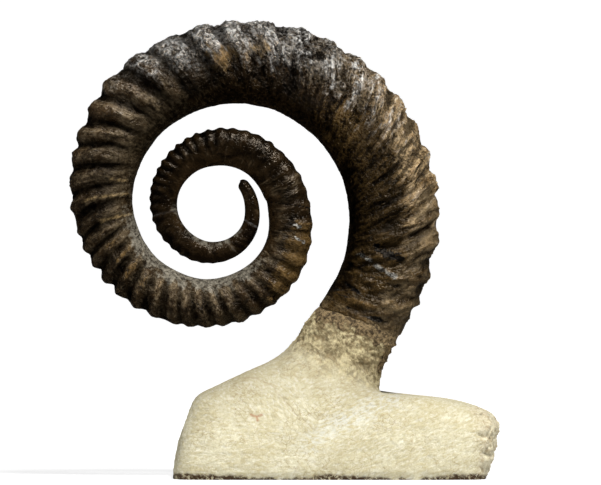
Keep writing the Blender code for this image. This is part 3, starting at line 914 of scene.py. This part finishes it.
stone_tones = {
    "cream": ((0.57, 0.515, 0.33, 1), (0.645, 0.60, 0.42, 1)),
    "neck": ((0.12, 0.083, 0.033, 1), (0.52, 0.44, 0.25, 1)),
    "left_skin": ((0.035, 0.022, 0.010, 1), (0.24, 0.17, 0.085, 1)),
    "broken": ((0.70, 0.645, 0.47, 1), (0.36, 0.27, 0.165, 1)),
}
crackle_brown = (0.33, 0.245, 0.115, 1)
trough_grey = (0.66, 0.67, 0.62, 1)
speck_brown = (0.34, 0.25, 0.12, 1)
shelf_shade = (0.70, 0.69, 0.68, 1)
pit_brown = (0.24, 0.175, 0.085, 1)
foot_rind_and_shadow_brown = (0.065, 0.036, 0.016, 1)
crack_brown = (0.27, 0.19, 0.10, 1)
stain_red = (0.33, 0.12, 0.045, 1)
crackle_shift = 4.0 * MM

rock, tree, shader = new_material("cream limestone")
place = node(tree, "ShaderNodeTexCoord", output="Object")
speck = noise_node(tree, place, 1900.0, 3.0, 0.7)
mottle = noise_node(tree, place, 650.0, 5.0, 0.75, 0.6)
cloud = noise_node(tree, place, 110.0, 4.0, 0.6)
scratches = 0.0
for zone, length_share in (("rising", 0.36), ("level", 0.42), ("falling", 0.45)):
    zone_stretch = (length_share, 0.4, 1.0)
    zone_place = vector_maths(tree, "MULTIPLY", painted(tree, zone + "_place", "Vector"), zone_stretch)
    zone_noise = noise_node(tree, zone_place, 1100.0, 4.0, 0.65, 0.4)
    scratches = times_plus(tree, zone_noise, painted(tree, zone), scratches)
cream = ramp(tree, cloud, 0.35, 0.65, *stone_tones["cream"])
for value, low, high, strength, colour in (
    (mottle, 0.50, 0.70, 0.6, (0.47, 0.385, 0.20, 1)),
    (mottle, 0.47, 0.28, 0.5, (0.80, 0.76, 0.59, 1)),
    (scratches, 0.50, 0.66, 0.55, (0.79, 0.765, 0.65, 1)),
    (scratches, 0.48, 0.36, 0.45, (0.46, 0.38, 0.205, 1)),
):
    cream = blend_colour(tree, remap(tree, value, low, high, 0.0, strength), cream, colour)
# Hair-fine brown crackle, in places
crackle_warp = node(tree, "ShaderNodeTexNoise", {"Vector": place, "Scale": 420.0, "Detail": 3.0}, output=1)
crackle_place = vector_maths(tree, "MULTIPLY_ADD", crackle_warp, (crackle_shift,) * 3, place)
crackle_cells = {"Vector": crackle_place, "Scale": 300.0}
crackle = node(tree, "ShaderNodeTexVoronoi", crackle_cells, feature="DISTANCE_TO_EDGE")
crackle_here = remap(tree, noise_node(tree, place, 75.0, 3.0), 0.42, 0.60, 0.0, 0.6)
crackle_line = times(tree, remap(tree, crackle, 0.0, 0.055, 1.0, 0.0), crackle_here)
cream = blend_colour(tree, crackle_line, cream, crackle_brown)
trough_scratch = remap(tree, scratches, 0.40, 0.60, 0.0, 0.6)
cream = blend_colour(tree, times(tree, painted(tree, "trough"), trough_scratch), cream, trough_grey)
cream = blend_colour(tree, remap(tree, speck, 0.60, 0.70, 0.0, 0.5), cream, speck_brown)
# The neck, the painted shade on the up-facing shelves, the skin left by the shell, the broken end and the
# small marks
neck_patch = noise_node(tree, place, 230.0, 4.0, 0.65, 0.5)
neck_grain = times_plus(tree, mottle, 0.3, times(tree, scratches, 0.25))
neck_grain = times_plus(tree, neck_patch, 0.45, neck_grain)
neck_colour = ramp(tree, neck_grain, 0.41, 0.60, *stone_tones["neck"])
cream = lay_paint(tree, "neck", 0.95, cream, neck_colour)
cream = blend_colour(tree, times(tree, painted(tree, "upward_painted_shade"), 0.95), cream, shelf_shade, "MULTIPLY")
left_skin_colour = ramp(tree, mottle, 0.38, 0.62, *stone_tones["left_skin"])
left_skin_share = times_plus(tree, painted(tree, "left_skin"), 1.3, maths(tree, "SUBTRACT", mottle, 0.5))
cream = blend_colour(tree, remap(tree, left_skin_share, 0.25, 0.75), cream, left_skin_colour)
broken_colour = ramp(tree, mottle, 0.40, 0.62, *stone_tones["broken"])
cream = lay_paint(tree, "broken", 0.6, cream, broken_colour)
cream = blend_colour(tree, remap(tree, painted(tree, "pits"), 0.0, 1.0, 0.0, 0.6), cream, pit_brown)
# The dark brown rind along the foot, partly a painted shadow
foot_rind_and_shadow_share = times(tree, painted(tree, "edge"), remap(tree, mottle, 0.60, 0.50, 0.1, 1.0))
cream = blend_colour(tree, foot_rind_and_shadow_share, cream, foot_rind_and_shadow_brown)
cream = lay_paint(tree, "stone_crack", 0.45, cream, crack_brown)
cream = lay_paint(tree, "stain", 0.8, cream, stain_red)
tree.links.new(cream, shader.inputs["Base Color"])
shader.inputs["Roughness"].default_value = 0.88
shader.inputs["Specular IOR Level"].default_value = 0.25
height = times_plus(tree, speck, 0.3, times_plus(tree, scratches, 0.5, mottle))
rock_bump = node(tree, "ShaderNodeBump", {"Height": height, "Strength": 0.8, "Distance": 0.0008})
tree.links.new(rock_bump, shader.inputs["Normal"])
stone.data.materials.append(rock)

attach(stone, "root")
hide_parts("limestone_matrix")


# The studio: a round sheet of white paper that the fossil stands on, and a wide ring of the same paper round
# it that lies flat and then curves up into a wall. The paper glows a little, as a light table does.

paper, tree, shader = new_material("white paper")
paper_place = node(tree, "ShaderNodeTexCoord", output="Object")
from_middle = vector_maths(tree, "LENGTH", paper_place, output=1)
paper_colour = blend_colour(tree, remap(tree, from_middle, 0.3, 1.2), grey(0.25), grey(0.4))
tree.links.new(paper_colour, shader.inputs["Base Color"])
tree.links.new(remap(tree, from_middle, 0.16, 0.8, 0.84, 1.0), shader.inputs["Emission Strength"])
shader.inputs["Emission Color"].default_value = grey(1.0)
shader.inputs["Roughness"].default_value = 0.95
shader.inputs["Specular IOR Level"].default_value = 0.05

sheet_radius = 1.4
ring_radius = 6.0
wall_curve = 1.0
wall_top = 5.0
wall_steps = 12
sides_around = 96
sheet_profile = [(radius, 0.0) for radius in (0.0, 0.25, 0.6, 1.0, sheet_radius)]
ring_profile = [(radius, 0.0) for radius in (sheet_radius, 2.2, 3.4, 4.8)]
for a in np.linspace(0, math.pi / 2, wall_steps):
    ring_profile.append((ring_radius + wall_curve * math.sin(a), wall_curve * (1 - math.cos(a))))
ring_profile.append((ring_radius + wall_curve, wall_top))
around = np.linspace(0, 2 * math.pi, sides_around, endpoint=False)
for name, profile in (("sheet", sheet_profile), ("wall_ring", ring_profile)):
    corners = [(r * math.cos(a), r * math.sin(a), z_at) for r, z_at in profile for a in around]
    faces = []
    for i in range(0, (len(profile) - 1) * sides_around, sides_around):
        for j in range(sides_around):
            k = (j + 1) % sides_around
            faces.append([i + j, i + sides_around + j, i + sides_around + k, i + k])
    paper_mesh = bpy.data.meshes.new(name)
    paper_mesh.from_pydata(corners, [], faces)
    paper_mesh.validate()
    paper_mesh.shade_smooth()
    paper_mesh.materials.append(paper)
    paper_piece = bpy.data.objects.new(name, paper_mesh)
    paper_piece.visible_glossy = False
    paper_piece.visible_diffuse = name == "sheet"
    bpy.context.scene.collection.objects.link(paper_piece)


# The light: one large soft lamp high on the front right, whose wide disk shades the ribs softly, a weak one
# low on the left that opens the shadows, and a pale room.

room_strength = 0.03


def soft_lamp(name, place_at, aim, size, watts):
    lamp = bpy.data.lights.new(name, "AREA")
    lamp.shape = "DISK"
    lamp.size = size
    lamp.energy = watts
    holder = bpy.data.objects.new(name, lamp)
    holder.location = place_at
    holder.rotation_euler = (Vector(aim) - Vector(place_at)).to_track_quat("-Z", "Y").to_euler()
    bpy.context.scene.collection.objects.link(holder)


soft_lamp("key", place_at=(0.38, -0.78, 1.44), aim=(0.0, 0.0, 0.09), size=0.45, watts=46.0)
soft_lamp("fill", place_at=(-1.3, -0.9, 0.55), aim=(0.0, 0.0, 0.07), size=0.9, watts=3.0)
world = bpy.data.worlds.new("pale room")
world.use_nodes = True
world.node_tree.nodes["Background"].inputs["Color"].default_value = grey(1.0)
world.node_tree.nodes["Background"].inputs["Strength"].default_value = room_strength
bpy.context.scene.world = world
bpy.context.scene.view_settings.view_transform = "Standard"


# The camera: level, square to the coil, from far enough that the outline is nearly without perspective. Its
# view is as wide as the photo, with the stone's foot at the same height.

photo_width = 601
photo_height = 485
metres_per_pixel = mm_per_pixel * MM
camera_distance = 3.0
view_centre_x = (photo_width / 2 - photo_foot[0]) * metres_per_pixel
view_centre_z = (photo_foot[1] - photo_height / 2) * metres_per_pixel
lens = bpy.data.cameras.new("camera")
lens.sensor_width = 36.0
lens.lens = lens.sensor_width * camera_distance / (photo_width * metres_per_pixel)
lens.clip_start = 0.1
lens.clip_end = 20.0
camera = bpy.data.objects.new("camera", lens)
camera.location = (view_centre_x, -camera_distance, view_centre_z)
camera.rotation_euler = (math.pi / 2, 0.0, 0.0)
bpy.context.scene.collection.objects.link(camera)
bpy.context.scene.camera = camera
